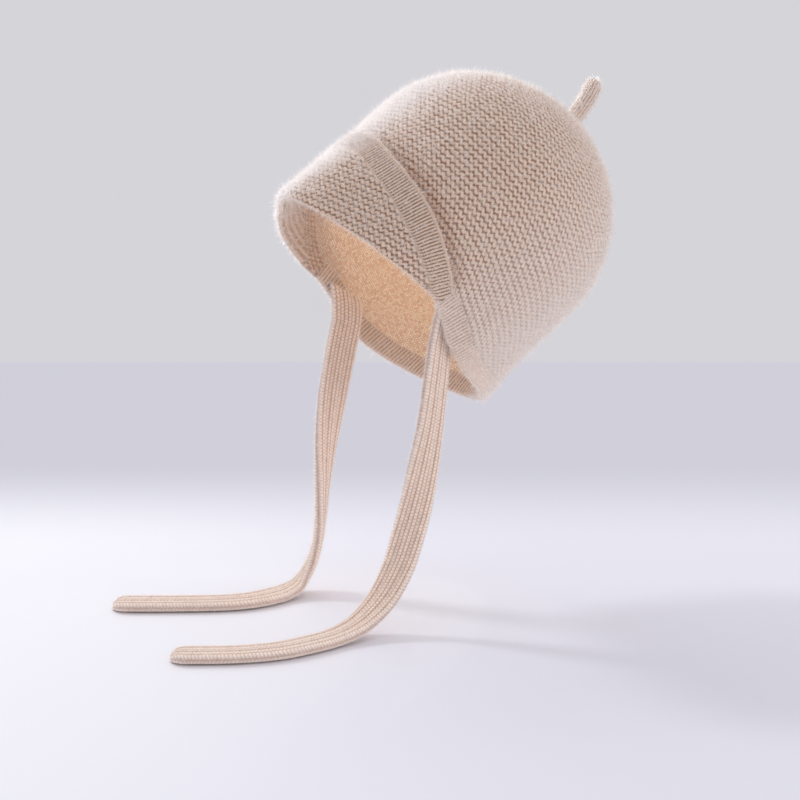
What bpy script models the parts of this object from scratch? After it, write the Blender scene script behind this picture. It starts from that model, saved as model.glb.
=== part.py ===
"""Knitted baby bonnet with a turned peak, two straps to tie and a short stem on top.

Units are metres and +Z is up. The bonnet hangs tipped back, as if on a head that looks
up: its face opening looks forward and down, and its two straps fall to the floor and run
out along it. The origin is the top of the hollow, where a head bears, and the wearer's
left is +X.

The whole cap follows one skin. A meridian of the skin leaves the stem's foot, rounds the
dome to its widest line and drops to the rim. Each piece is a share of that skin with its
own wall, and neighbours meet edge to edge.
"""
import bpy
from math import atan2, cos, degrees, pi, radians, sin, tan
from mathutils import Matrix, Vector

# Sizes of the cap
DOME_REACH = 0.0753      # half width at the widest line
DOME_RISE = 0.0766       # widest line up to the top of the dome
RIM_DROP = 0.0840        # widest line down to the rim at the ears
TIP_DEGREES = 55.7       # how far the bonnet is tipped back
KNIT_WALL = 0.0030       # one thickness of the knit
HEM_WIDTH = 0.0120
HEM_WALL = 0.0036
BAND_WIDTH = 0.0170
BAND_PROUD = 0.0024      # how far the band stands off the dome
PEAK_PROUD = 0.0017
PEAK_WALL = 0.0060       # two thicknesses, turned at the front edge
GAP = 0.0003             # clearance between neighbours

# Sizes of the straps and the stem
TIE_WIDTH = 0.0185
TIE_THICKNESS = 0.0060
TIE_BACK = 0.0200        # how far behind the ear a strap leaves the rim
TIE_TUCK = 0.0170        # how far a strap reaches up inside the rim
TIE_SLANT_DEGREES = 8.5  # how far that stretch leans back as it rises
TIE_TOP_DEGREES = 32     # how far its sewn top edge drops towards the back
TIE_FALL = 0.1563        # rim down to the strap's middle on the floor
TIE_RUN = 0.1510         # rim forward to where the left strap's end rounds off
STEM_LENGTH = 0.0410
STEM_DIAMETER = 0.0098
STEM_LIFT_DEGREES = 13   # how far the stem leans up from the dome's axis

# Mesh fineness
ROUND_STEPS = 56         # steps around the whole rim
DOME_ROWS = 16
STEM_SIDES = 12
TIE_STEPS = 3            # steps between two rows of a strap's table
TUCKED = 3               # steps of a strap inside the rim
DOWN = Vector((0, 0, -1))

# Round the half rim, from the middle of the peak (-90) by the ear (0) to the nape (90).
# wide and reach are shares of DOME_REACH, drop and edge of RIM_DROP. edge is the line where
# the dome ends at the peak's band; None puts it a hem's width above the rim.
RIM_COLUMNS = ("angle", "wide", "reach", "drop", "edge")
RIM_ROWS = (
    (-90, 1.080, 1.150, 1.150, 0.445),
    (-66, 1.075, 1.010, 1.115, 0.537),
    (-41, 1.080, 0.930, 1.070, 0.656),
    (-19, 1.070, 0.868, 1.010, 0.796),
    (-8, 1.060, 0.812, 0.980, 0.852),
    (6, 1.055, 0.760, 0.988, None),
    (20, 1.060, 0.765, 1.018, None),
    (45, 1.055, 0.875, 0.976, None),
    (70, 1.070, 1.090, 0.840, None),
    (90, 1.100, 1.220, 0.755, None),
)
DRAW_IN = 1.2            # how steeply the wall comes in to the rim
PEAK_END = -19           # where the peak runs out, and the band takes the rim
BAND_END = -8            # where the band meets the hem
# The band is broadest beside the eye. broad is a share of BAND_WIDTH.
BAND_COLUMNS = ("angle", "broad")
BAND_ROWS = (
    (-90, 0.91),
    (-66, 0.96),
    (-41, 1.07),
    (-19, 0.905),
    (-8, 0.60),
)

# Each strap from the rim to its free end: side is a share of the strap's distance from the
# middle at the rim, ahead of TIE_RUN, fall of TIE_FALL; turn is the plan angle of the flat.
TIE_COLUMNS = ("side", "ahead", "fall", "turn")
LEFT_TIE_ROWS = (
    (1.00, 0.000, 0.000, 106),
    (0.99, 0.011, 0.096, 104),
    (0.985, 0.036, 0.274, 97),
    (0.98, 0.063, 0.416, 82),
    (0.975, 0.096, 0.559, 62),
    (0.97, 0.135, 0.682, 48),
    (0.97, 0.182, 0.797, 36),
    (0.975, 0.255, 0.900, 24),
    (0.985, 0.350, 0.968, 12),
    (1.01, 0.455, 0.996, 2),
    (1.04, 0.575, 1.000, -4),
    (1.02, 0.715, 1.000, -10),
    (0.84, 0.860, 1.000, -20),
    (0.54, 1.000, 1.000, -27),
)
RIGHT_TIE_ROWS = (
    (1.00, 0.000, 0.000, 106),
    (0.99, 0.040, 0.147, 104),
    (0.975, 0.077, 0.296, 94),
    (0.96, 0.108, 0.450, 72),
    (0.95, 0.129, 0.620, 50),
    (0.935, 0.147, 0.780, 38),
    (0.92, 0.183, 0.895, 35),
    (0.90, 0.252, 0.975, 30),
    (0.86, 0.345, 1.000, 20),
    (0.83, 0.440, 1.000, 12),
    (0.89, 0.540, 1.000, 18),
    (1.08, 0.650, 1.000, 30),
    (1.34, 0.770, 1.000, 36),
    (1.61, 0.887, 1.000, 40),
)
# Half of one face of a strap, edge to middle: across is a share of its half width and
# thick of its half thickness, with a groove between the side rib and the middle one.
STRAP_COLUMNS = ("across", "thick")
STRAP_ROWS = (
    (1.00, 0.00),
    (0.95, 0.62),
    (0.80, 0.96),
    (0.58, 0.96),
    (0.37, 0.68),
    (0.16, 0.98),
)
# A strap's rounded end: out is a share of half its width, the others of its full section.
TIE_END_ROWS = (  # out, wide, thick
    (0.45, 0.88, 0.97),
    (0.75, 0.66, 0.88),
    (0.93, 0.38, 0.68),
)
STEM_ROWS = (  # share of its length, share of its diameter
    (0.00, 1.32),
    (0.08, 1.06),
    (0.30, 0.97),
    (0.60, 0.97),
    (0.84, 1.00),
    (0.93, 0.85),
    (0.98, 0.54),
)


def column(rows, columns, name):
    """One named column of a table."""
    place = columns.index(name)
    return [row[place] for row in rows]


def smooth(places, values, at):
    """A smooth curve through the values, level at both ends."""
    at = min(max(at, places[0]), places[-1])
    k = 0
    while k < len(places) - 2 and at > places[k + 1]:
        k += 1
    slopes = [0.0] * len(places)
    for j in range(1, len(places) - 1):
        slopes[j] = (values[j + 1] - values[j - 1]) / (places[j + 1] - places[j - 1])
    step = places[k + 1] - places[k]
    u = (at - places[k]) / step
    return (values[k] * (2 * u**3 - 3 * u**2 + 1) + values[k + 1] * (3 * u**2 - 2 * u**3)
            + step * slopes[k] * (u**3 - 2 * u**2 + u) + step * slopes[k + 1] * (u**3 - u**2))


ANGLES = column(RIM_ROWS, RIM_COLUMNS, "angle")
WIDE = [share * DOME_REACH for share in column(RIM_ROWS, RIM_COLUMNS, "wide")]
REACH = [share * DOME_REACH for share in column(RIM_ROWS, RIM_COLUMNS, "reach")]
DROP = [share * RIM_DROP for share in column(RIM_ROWS, RIM_COLUMNS, "drop")]
EDGE = [drop - HEM_WIDTH if share is None else share * RIM_DROP
        for share, drop in zip(column(RIM_ROWS, RIM_COLUMNS, "edge"), DROP)]


def half_angle(turn):
    """The plan angle in degrees, folded onto the wearer's left half."""
    return degrees(atan2(sin(radians(turn)), abs(cos(radians(turn)))))


def rim_drop(turn):
    return smooth(ANGLES, DROP, half_angle(turn))


def edge_drop(turn):
    return smooth(ANGLES, EDGE, half_angle(turn))


def band_width(turn):
    broad = smooth(column(BAND_ROWS, BAND_COLUMNS, "angle"), column(BAND_ROWS, BAND_COLUMNS, "broad"),
                   half_angle(turn))
    return BAND_WIDTH * broad


def skin(turn, way):
    """A point of the outer skin: way 0 is the top, 1 the widest line, 2 the rim."""
    half = half_angle(turn)
    wide = smooth(ANGLES, WIDE, half)
    reach = smooth(ANGLES, REACH, half)
    if way <= 1:
        out = wide * sin(way * pi / 2)
        height = DOME_RISE * cos(way * pi / 2)
    else:
        u = way - 1
        draw_in = DRAW_IN * (reach - wide)
        out = wide * (2 * u**3 - 3 * u**2 + 1) + reach * (3 * u**2 - 2 * u**3) + draw_in * (u**3 - u**2)
        height = -rim_drop(turn) * u
    return Vector((out * cos(radians(turn)), out * sin(radians(turn)), height))


def outward(turn, way):
    """The skin's outward direction."""
    if way < 0.02:
        return Vector((0, 0, 1))
    round_step = skin(turn + 0.5, way) - skin(turn - 0.5, way)
    down_step = skin(turn, min(way + 0.01, 2)) - skin(turn, way - 0.01)
    return down_step.cross(round_step).normalized()


def way_at(turn, drop):
    """The way at which the meridian is this far below the widest line."""
    return 1 + drop / rim_drop(turn)


def down_from(turn, drop, width):
    """The drop that lies this width further down the meridian."""
    step = width / 12
    for _ in range(12):
        here = skin(turn, way_at(turn, drop))
        stretch = (skin(turn, way_at(turn, drop + step)) - here).length / step
        drop += step / stretch
    return drop


def on_wall(turn, drop, offset):
    """A point that stands off the skin by an offset, outward when positive."""
    way = way_at(turn, drop)
    return skin(turn, way) + outward(turn, way) * offset


SEAT = Vector((0, 0, DOME_RISE - KNIT_WALL))
TIPPED = Matrix.Rotation(-radians(TIP_DEGREES), 4, 'X') @ Matrix.Translation(-SEAT)


def new_object(name, points, faces, finish, place=TIPPED):
    """A closed, smooth-shaded mesh object with its own material."""
    mesh = bpy.data.meshes.new(name)
    mesh.from_pydata([place @ Vector(p) for p in points], [], faces)
    mesh.validate()
    mesh.shade_smooth()
    mesh.set_sharp_from_angle(angle=radians(50))
    mesh.materials.append(finish)
    item = bpy.data.objects.new(name, mesh)
    bpy.context.scene.collection.objects.link(item)
    return item


def knit_finish(name, colour, roughness=0.95):
    """A matt wool material."""
    finish = bpy.data.materials.new(name)
    finish.use_nodes = True
    shader = finish.node_tree.nodes["Principled BSDF"]
    shader.inputs["Base Color"].default_value = (*colour, 1)
    shader.inputs["Roughness"].default_value = roughness
    shader.inputs["Metallic"].default_value = 0
    finish.diffuse_color = (*colour, 1)
    return finish


def loft(name, sections, finish, place=TIPPED):
    """Skins equal closed sections into one body with two end faces."""
    count = len(sections[0])
    points = [point for section in sections for point in section]
    faces = []
    for a in range(0, len(points) - count, count):
        b = a + count
        for j in range(count):
            i = (j + 1) % count
            faces.append((a + j, a + i, b + i, b + j))
    faces.append(tuple(reversed(range(count))))
    faces.append(tuple(range(len(points) - count, len(points))))
    return new_object(name, points, faces, finish, place)


def add_crown(finish):
    """The dome: one wall from the stem's foot to the band and the hem."""
    turns = [-90 + 360 * k / ROUND_STEPS for k in range(ROUND_STEPS)]
    points, faces = [], []
    for offset in (0, -KNIT_WALL):
        points.append(skin(0, 0) + Vector((0, 0, offset)))
        for row in range(1, DOME_ROWS + 1):
            for turn in turns:
                way = way_at(turn, edge_drop(turn)) * row / DOME_ROWS
                points.append(skin(turn, way) + outward(turn, way) * offset)
    sheet = 1 + DOME_ROWS * ROUND_STEPS
    for k in range(ROUND_STEPS):
        n = (k + 1) % ROUND_STEPS
        faces.append((0, 1 + k, 1 + n))
        faces.append((sheet, sheet + 1 + n, sheet + 1 + k))
        for row in range(DOME_ROWS - 1):
            a = 1 + row * ROUND_STEPS
            b = a + ROUND_STEPS
            faces.append((a + k, b + k, b + n, a + n))
            faces.append((sheet + a + k, sheet + a + n, sheet + b + n, sheet + b + k))
        last = 1 + (DOME_ROWS - 1) * ROUND_STEPS
        faces.append((last + k, sheet + last + k, sheet + last + n, last + n))
    return new_object("crown", points, faces, finish)


def wall_section(turn, top, bottom, outside, inside, rows, rounded):
    """A closed section of a strip of wall between two drops, its lower edge rounded."""
    outer, inner, edge = [], [], []
    middle = (outside + inside) / 2
    radius = (outside - inside) / 2
    low = bottom
    if rounded:
        span = (on_wall(turn, bottom, middle) - on_wall(turn, top, middle)).length
        low = bottom - (bottom - top) * min(radius / span, 0.6)
        for k in range(1, 4):
            arc = pi * k / 4
            edge.append(on_wall(turn, low + (bottom - low) * sin(arc), middle + radius * cos(arc)))
    for k in range(rows + 1):
        drop = top + (low - top) * k / rows
        outer.append(on_wall(turn, drop, outside))
        inner.append(on_wall(turn, drop, inside))
    return outer + edge + list(reversed(inner))


def gap_turn(end):
    """The plan angle that the clearance takes up at the rim."""
    return degrees(GAP / smooth(ANGLES, REACH, end))


def front_turns(end, steps):
    """Plan angles across the front, from the wearer's right end to the left end."""
    return [-180 - end + (180 + 2 * end) * k / steps for k in range(steps + 1)]


def add_peak(finish):
    """The peak: knit turned back on itself, from the band to its round front edge."""
    sections = []
    for turn in front_turns(PEAK_END - gap_turn(PEAK_END), 28):
        edge = edge_drop(turn)
        top = down_from(turn, edge, GAP + band_width(turn) + GAP)
        sections.append(wall_section(turn, top, rim_drop(turn), PEAK_PROUD, PEAK_PROUD - PEAK_WALL, 5, True))
    return loft("peak", sections, finish)


def add_peak_band(finish):
    """The ribbed band behind the peak, which takes the rim where the peak runs out."""
    sections = []
    past_peak = PEAK_END + gap_turn(PEAK_END)
    end_turns = [past_peak + (BAND_END - past_peak) * k / 3 for k in range(4)]
    turns = [-180 - turn for turn in reversed(end_turns)] + front_turns(PEAK_END, 28) + end_turns
    for turn in turns:
        top = down_from(turn, edge_drop(turn), GAP)
        if half_angle(turn) < PEAK_END + 0.01:
            bottom = down_from(turn, edge_drop(turn), GAP + band_width(turn))
        else:
            bottom = rim_drop(turn)
        sections.append(wall_section(turn, top, bottom, BAND_PROUD, -KNIT_WALL, 3, False))
    return loft("peak_band", sections, finish)


def add_hem(finish):
    """The ribbed hem round the ears and the nape."""
    start = BAND_END + gap_turn(BAND_END)
    sections = []
    steps = 40
    for k in range(steps + 1):
        turn = start + (180 - 2 * start) * k / steps
        top = down_from(turn, edge_drop(turn), GAP)
        proud = (HEM_WALL - KNIT_WALL) / 2
        sections.append(wall_section(turn, top, rim_drop(turn), proud, proud - HEM_WALL, 3, True))
    return loft("hem_band", sections, finish)


def turn_behind(back, drop):
    """The plan angle at which the skin lies this far behind the ear, at a drop."""
    low, high = -70.0, 70.0
    for _ in range(30):
        turn = (low + high) / 2
        if skin(turn, min(way_at(turn, drop), 2)).y < back:
            low = turn
        else:
            high = turn
    return turn


def inner_side(back, drop, wall):
    """How far from the middle the wall's inside is, at a place behind the ear and a drop."""
    turn = turn_behind(back, drop)
    way = min(way_at(turn, drop), 2)
    return skin(turn, way).x - wall / outward(turn, way).x


def strap_section(centre, across, facing, share_wide=1, share_thick=1):
    """A flat oval with three broad ribs on each face."""
    wide = [share * TIE_WIDTH / 2 * share_wide for share in column(STRAP_ROWS, STRAP_COLUMNS, "across")]
    thick = [share * TIE_THICKNESS / 2 * share_thick for share in column(STRAP_ROWS, STRAP_COLUMNS, "thick")]
    face = list(zip(wide, thick))
    upper = face + [(-a, b) for a, b in reversed(face)]
    lower = [(-a, -b) for a, b in upper[1:-1]]
    return [centre + across * a + facing * b for a, b in upper + lower]


def strap_side(y, z, across):
    """The distance from the middle at which a strap lies flat on the inner wall."""
    wall = (HEM_WALL + KNIT_WALL) / 2
    sides = []
    for share, full in STRAP_ROWS:
        for reach in (across * TIE_WIDTH / 2 * share, across * -TIE_WIDTH / 2 * share):
            inside = TIPPED.inverted() @ Vector((0, y + reach.y, z + reach.z))
            sides.append(inner_side(inside.y, -inside.z, wall) - reach.x - full * TIE_THICKNESS / 2)
    return min(sides) - GAP


def strap_frame(ahead, turn):
    """The strap's directions across its face and out of it."""
    flat = Vector((cos(turn), sin(turn), 0))
    across = (flat - ahead * flat.dot(ahead)).normalized()
    return across, across.cross(ahead)


def top_slant(k):
    """How a strap's sections inside the rim slope, like its sewn top edge, down to level ones."""
    return DOWN * tan(radians(TIE_TOP_DEGREES)) * max(1 - k / (TUCKED - 1), 0)


def tie_stations(rows):
    """Places and plan angles along a strap, from its sewn end inside the rim."""
    rim_turn = turn_behind(TIE_BACK, RIM_DROP)
    rim = TIPPED @ Vector((0, TIE_BACK, -rim_drop(rim_turn)))
    route = {name: column(rows, TIE_COLUMNS, name) for name in TIE_COLUMNS}
    places = list(range(len(rows)))
    first_turn = radians(route["turn"][0])
    across = strap_frame(DOWN, first_turn)[0]
    rim_side = strap_side(rim.y, rim.z, across)
    stations = []
    for k in range(TUCKED):
        share = 1 - k / TUCKED
        y = rim.y + tan(radians(TIE_SLANT_DEGREES)) * TIE_TUCK * share
        z = rim.z + TIE_TUCK * share
        side = strap_side(y, z, across + top_slant(k))
        stations.append((Vector((side, y, z)), first_turn))
    for k in range(TIE_STEPS * (len(rows) - 1) + 1):
        at = k / TIE_STEPS
        share = {name: smooth(places, values, at) for name, values in route.items()}
        fall = min(share["fall"], 1) * TIE_FALL
        centre = Vector((rim_side * share["side"], rim.y - TIE_RUN * share["ahead"], rim.z - fall))
        stations.append((centre, radians(share["turn"])))
    return stations


def add_tie(name, rows, side, finish):
    """A strap sewn inside the rim, which falls to the floor and runs out along it."""
    stations = tie_stations(rows)
    sections = []
    for k, (centre, turn) in enumerate(stations):
        ahead = stations[min(k + 1, len(stations) - 1)][0] - stations[max(k - 1, 0)][0]
        ahead.normalize()
        if k <= TUCKED:
            ahead = DOWN
        across, facing = strap_frame(ahead, turn)
        sections.append(strap_section(centre, across + top_slant(k), facing))
    for out, wide, thick in TIE_END_ROWS:
        sink = Vector((0, 0, (thick - 1) * TIE_THICKNESS / 2))
        round_end = centre + ahead * (TIE_WIDTH / 2 * out) + sink
        sections.append(strap_section(round_end, across, facing, wide, thick))
    if side > 0:
        sections = [list(reversed(section)) for section in sections]
    else:
        sections = [[Vector((-p.x, p.y, p.z)) for p in section] for section in sections]
    return loft(name, sections, finish, Matrix.Identity(4))


def add_stem(finish):
    """The stem: a narrow knitted tube with a round tip, leaning up from the dome."""
    radius = STEM_DIAMETER / 2
    sections = []
    for share, wide in STEM_ROWS:
        run = share * STEM_LENGTH
        lean = radians(STEM_LIFT_DEGREES) * share
        centre = Vector((0, -run * sin(lean), DOME_RISE + GAP + run * cos(lean)))
        section = []
        for k in range(STEM_SIDES):
            arc = 2 * pi * k / STEM_SIDES
            side = Vector((cos(arc), sin(arc) * cos(lean), sin(arc) * sin(lean)))
            section.append(centre + side * radius * wide)
        sections.append(section)
    return loft("stem", sections, finish)


def main():
    for item in list(bpy.data.objects):
        bpy.data.objects.remove(item)
    cream = (0.78, 0.68, 0.59)
    ribbed = (0.72, 0.61, 0.52)
    pale = (0.80, 0.71, 0.62)
    add_crown(knit_finish("crown_knit", cream))
    add_peak(knit_finish("peak_knit", cream))
    add_peak_band(knit_finish("band_rib", ribbed))
    add_hem(knit_finish("hem_rib", ribbed))
    add_tie("tie_left", LEFT_TIE_ROWS, 1, knit_finish("left_strap_knit", pale))
    add_tie("tie_right", RIGHT_TIE_ROWS, -1, knit_finish("right_strap_knit", pale))
    add_stem(knit_finish("stem_knit", cream))


main()
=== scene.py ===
from functools import partial
from math import cos, degrees, pi, radians, sin

import bpy
import numpy as np
from mathutils import Matrix, Vector


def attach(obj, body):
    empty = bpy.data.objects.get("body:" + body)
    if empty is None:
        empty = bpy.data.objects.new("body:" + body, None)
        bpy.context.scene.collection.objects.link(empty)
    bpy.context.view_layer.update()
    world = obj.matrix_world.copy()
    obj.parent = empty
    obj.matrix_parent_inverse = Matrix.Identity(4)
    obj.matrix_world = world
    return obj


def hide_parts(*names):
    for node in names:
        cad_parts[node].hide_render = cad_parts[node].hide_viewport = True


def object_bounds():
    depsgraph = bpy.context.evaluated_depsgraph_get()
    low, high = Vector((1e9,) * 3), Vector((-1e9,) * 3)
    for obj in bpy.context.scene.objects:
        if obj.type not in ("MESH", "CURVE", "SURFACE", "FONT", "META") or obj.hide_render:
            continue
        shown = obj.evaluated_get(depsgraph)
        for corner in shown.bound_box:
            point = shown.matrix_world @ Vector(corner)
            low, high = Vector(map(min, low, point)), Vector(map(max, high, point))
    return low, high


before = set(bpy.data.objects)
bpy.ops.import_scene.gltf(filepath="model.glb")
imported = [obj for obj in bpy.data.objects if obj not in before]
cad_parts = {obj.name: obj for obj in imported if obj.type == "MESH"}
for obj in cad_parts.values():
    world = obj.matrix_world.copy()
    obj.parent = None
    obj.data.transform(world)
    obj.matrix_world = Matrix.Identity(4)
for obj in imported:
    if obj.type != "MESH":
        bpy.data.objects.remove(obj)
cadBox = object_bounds()
print("frame loaded")

# the cap's form: sizes in metres, angles in degrees
cap = {
    "domeReach": 0.0753,
    "domeRise": 0.0766,
    "rimDrop": 0.0840,
    "tip": 55.7,            # how far the bonnet is tipped back
    "wall": 0.0030,
    "hemWidth": 0.0120,
    "hemWall": 0.0036,
    "bandWidth": 0.0170,
    "bandProud": 0.0024,
    "peakProud": 0.0017,
    "peakWall": 0.0060,
    "gap": 0.0003,
    "drawIn": 1.2,
    "peakEnd": -19.0,       # where the peak runs out, towards the ear
    "bandEnd": -8.0,        # where the band meets the hem
}
# round the half rim: angle, widest line, rim, rim's drop, edge of the dome (None: above the hem)
rimTable = (
    (-90, 1.080, 1.150, 1.150, 0.445),
    (-66, 1.075, 1.010, 1.115, 0.537),
    (-41, 1.080, 0.930, 1.070, 0.656),
    (-19, 1.070, 0.868, 1.010, 0.796),
    (-8, 1.060, 0.812, 0.980, 0.852),
    (6, 1.055, 0.760, 0.988, None),
    (20, 1.060, 0.765, 1.018, None),
    (45, 1.055, 0.875, 0.976, None),
    (70, 1.070, 1.090, 0.840, None),
    (90, 1.100, 1.220, 0.755, None),
)
# the band's breadth round the half rim: angle, share of bandWidth
bandTable = ((-90, 0.91), (-66, 0.96), (-41, 1.07), (-19, 0.905), (-8, 0.60))
# the repeat of each knit, in metres
knit = {
    "row": 0.00373,         # one ridge of the seed knit
    "stitch": 0.0037,
    "rib": 0.0021,
    "course": 0.0013,       # one course along a rib
    "relief": 0.0009,       # from a hollow to the top of a strand
    "tilt": 0.105,          # how much nearer the top the ridges lie in front
    "wave": 0.18,           # how far a strand of the seed knit swings, as a share of a ridge
    "yarn": 0.28,           # half its thickness, the same
    "dip": 0.16,            # how much lower its flat stretches lie
    "seedLevel": 0.75,      # the height that lies level with the skin, as a share of the relief
    "seedWobble": 0.16,     # how unevenly the stitches lie, in stitches
    "ribWave": 0.14,        # how much each stitch of a rib stands out from the next
    "ribBow": 0.4,          # how far a stitch's sides lag behind its middle, in stitches
    "ribLevel": 0.7,
    "ribWobble": 0.10,
    "strapWave": 0.22,      # the same as ribWave, in the look of the straps
    "dotBright": (0.25, 1.15),      # how bright the dots inside are
}


def smoothCurve(places, values, at):
    # a smooth curve through the values, level at both ends
    places, values = np.array(places, float), np.array(values, float)
    at = np.clip(np.asarray(at, float), places[0], places[-1])
    slopes = np.zeros(len(places))
    slopes[1:-1] = (values[2:] - values[:-2]) / (places[2:] - places[:-2])
    k = np.clip(np.searchsorted(places, at, side="right") - 1, 0, len(places) - 2)
    step = places[k + 1] - places[k]
    u = (at - places[k]) / step
    return (values[k] * (2 * u**3 - 3 * u**2 + 1) + values[k + 1] * (3 * u**2 - 2 * u**3)
            + step * slopes[k] * (u**3 - 2 * u**2 + u) + step * slopes[k + 1] * (u**3 - u**2))


def tableCurve(rows, at):
    # a smooth curve through a table of places and values
    return smoothCurve([row[0] for row in rows], [row[1] for row in rows], at)


def smoothStep(x):
    x = np.clip(x, 0, 1)
    return x * x * (3 - 2 * x)


rimAngles = [row[0] for row in rimTable]
wides = [row[1] * cap["domeReach"] for row in rimTable]
reaches = [row[2] * cap["domeReach"] for row in rimTable]
drops = [row[3] * cap["rimDrop"] for row in rimTable]
edges = [row[3] * cap["rimDrop"] - cap["hemWidth"] if row[4] is None else row[4] * cap["rimDrop"]
         for row in rimTable]


def halfAngle(turn):
    rad = np.radians(turn)
    return np.degrees(np.arctan2(np.sin(rad), np.abs(np.cos(rad))))


def rimDrop(turn):
    return smoothCurve(rimAngles, drops, halfAngle(turn))


def edgeDrop(turn):
    return smoothCurve(rimAngles, edges, halfAngle(turn))


def bandWidth(turn):
    return tableCurve(bandTable, halfAngle(turn)) * cap["bandWidth"]


def skinPoint(turn, way):
    # a point of the outer skin: way 0 is the top, 1 the widest line, 2 the rim
    turn, way = np.broadcast_arrays(np.asarray(turn, float), np.asarray(way, float))
    half = halfAngle(turn)
    wide = smoothCurve(rimAngles, wides, half)
    reach = smoothCurve(rimAngles, reaches, half)
    u = np.clip(way - 1, 0, None)
    drawIn = cap["drawIn"] * (reach - wide)
    skirt = wide * (2 * u**3 - 3 * u**2 + 1) + reach * (3 * u**2 - 2 * u**3) + drawIn * (u**3 - u**2)
    out = np.where(way <= 1, wide * np.sin(way * pi / 2), skirt)
    height = np.where(way <= 1, cap["domeRise"] * np.cos(way * pi / 2), -rimDrop(turn) * u)
    rad = np.radians(turn)
    return np.stack([out * np.cos(rad), out * np.sin(rad), height], -1)


def unit(v):
    return v / np.linalg.norm(v, axis=-1, keepdims=True)


def skinNormal(turn, way):
    turn, way = np.broadcast_arrays(np.asarray(turn, float), np.asarray(way, float))
    nearTop = 0.02
    atTop = way < nearTop
    way = np.clip(way, nearTop, None)
    roundStep = skinPoint(turn + 0.5, way) - skinPoint(turn - 0.5, way)
    downStep = skinPoint(turn, np.minimum(way + 0.01, 2)) - skinPoint(turn, way - 0.01)
    normal = unit(np.cross(downStep, roundStep))
    return np.where(atTop[..., None], np.array([0, 0, 1.0]), normal)


def wayAt(turn, drop):
    return 1 + drop / rimDrop(turn)


seat = np.array([0, 0, cap["domeRise"] - cap["wall"]])
tipTurn = np.array(Matrix.Rotation(-radians(cap["tip"]), 3, 'X'))


def tipped(points):
    return (points - seat) @ tipTurn.T


def clearSelection():
    for item in bpy.context.selected_objects:
        item.select_set(False)


def activeOnly(item):
    clearSelection()
    item.select_set(True)
    bpy.context.view_layer.objects.active = item


def flatSheet(name, across, down):
    # a flat knitted strip: a grid with x from 0 to 1 across it and y from 0 to 1 down it
    clearSelection()
    bpy.ops.mesh.primitive_grid_add(x_subdivisions=across, y_subdivisions=down, size=1,
                                    location=(0.5, 0.5, 0), calc_uvs=True)
    bpy.ops.object.transform_apply(location=True, rotation=False, scale=False)
    sheet = bpy.context.object
    sheet.name = name + "_knit"
    sheet.data.name = sheet.name
    return sheet


def readAll(items, name, width=1, kind=float):
    # one value, or one row of values, from each of a mesh's items
    values = np.empty(len(items) * width, kind)
    items.foreach_get(name, values)
    return values.reshape(-1, width) if width > 1 else values


def flatPlaces(sheet):
    # each vertex's place across and down its flat strip
    places = readAll(sheet.data.vertices, "co", 3)
    return places[:, 0], places[:, 1]


def shapeSheet(sheet, points, stitches, **marks):
    # puts the vertices in place and writes the knit's repeat into the UV map, corner by corner
    mesh = sheet.data
    for name, amounts in marks.items():
        layer = mesh.attributes.new(name, 'FLOAT', 'POINT')
        layer.data.foreach_set("value", np.broadcast_to(amounts, len(mesh.vertices)).astype(np.float32))
    corners = readAll(mesh.loops, "vertex_index", kind=int)
    if len(stitches) != len(corners):
        stitches = stitches[corners]
    layer = mesh.uv_layers[0]
    layer.name = "knit"
    layer.data.foreach_set("uv", stitches.astype(np.float32).ravel())
    mesh.vertices.foreach_set("co", points.astype(np.float32).ravel())
    mesh.update()


def cornerPlaces(sheet):
    # for every corner of every face: its vertex, and the middle of its face across the strip
    mesh = sheet.data
    middles = readAll(mesh.polygons, "center", 3)[:, 0]
    counts = readAll(mesh.polygons, "loop_total", kind=int)
    return readAll(mesh.loops, "vertex_index", kind=int), np.repeat(middles, counts)


def closeSheet(sheet):
    # sews the edges that lie on each other, closes the ends and turns the faces outwards
    activeOnly(sheet)
    bpy.ops.object.mode_set(mode='EDIT')
    bpy.ops.mesh.select_all(action='SELECT')
    bpy.ops.mesh.remove_doubles(threshold=0.00002)
    bpy.ops.mesh.select_all(action='SELECT')
    bpy.ops.mesh.fill_holes(sides=0)
    bpy.ops.mesh.select_all(action='SELECT')
    bpy.ops.mesh.normals_make_consistent(inside=False)
    bpy.ops.object.mode_set(mode='OBJECT')
    bpy.ops.object.shade_smooth()


def wobble(u, v, size, seed):
    # a slow unevenness of hand, the same each run
    rng = np.random.default_rng(seed)
    waves, pace = 6, 0.9
    total = np.zeros_like(u)
    for _ in range(waves):
        across, down, phase = rng.uniform(-1, 1), rng.uniform(-1, 1), rng.uniform(0, 2 * pi)
        total += np.sin((u * across + v * down) * pace + phase)
    return total * size / waves


def seedHeight(u, v, straight=0):
    # one strand to a ridge, swinging like a wave, with hollows inside its bends
    wave = knit["wave"] * (1 - straight)
    swing = wave * np.sin(2 * pi * u)
    slope = 2 * pi * wave * knit["row"] / knit["stitch"] * np.cos(2 * pi * u)
    near = np.abs((v - swing) % 1 - 0.5) / np.sqrt(1 + slope**2) / knit["yarn"]
    return np.sqrt(np.clip(1 - near**2, 0, 1)) * (1 - knit["dip"] + knit["dip"] * np.cos(2 * pi * u))


def seedRelief(height):
    return (height - knit["seedLevel"]) * knit["relief"]


def ribHeight(u, v):
    # one column of stitches to each unit of u, one stitch to each unit of v
    side = np.abs(2 * (u % 1) - 1)
    column = np.sqrt(np.clip(1 - side**2, 0, 1))
    bowed = v + knit["ribBow"] * side
    return column * (1 - knit["ribWave"] + knit["ribWave"] * np.cos(2 * pi * bowed))


def skinSpan(turn, fromWay, toWay):
    # how far apart two places of a meridian are
    return np.linalg.norm(skinPoint(turn, toWay) - skinPoint(turn, fromWay), axis=-1)


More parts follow.
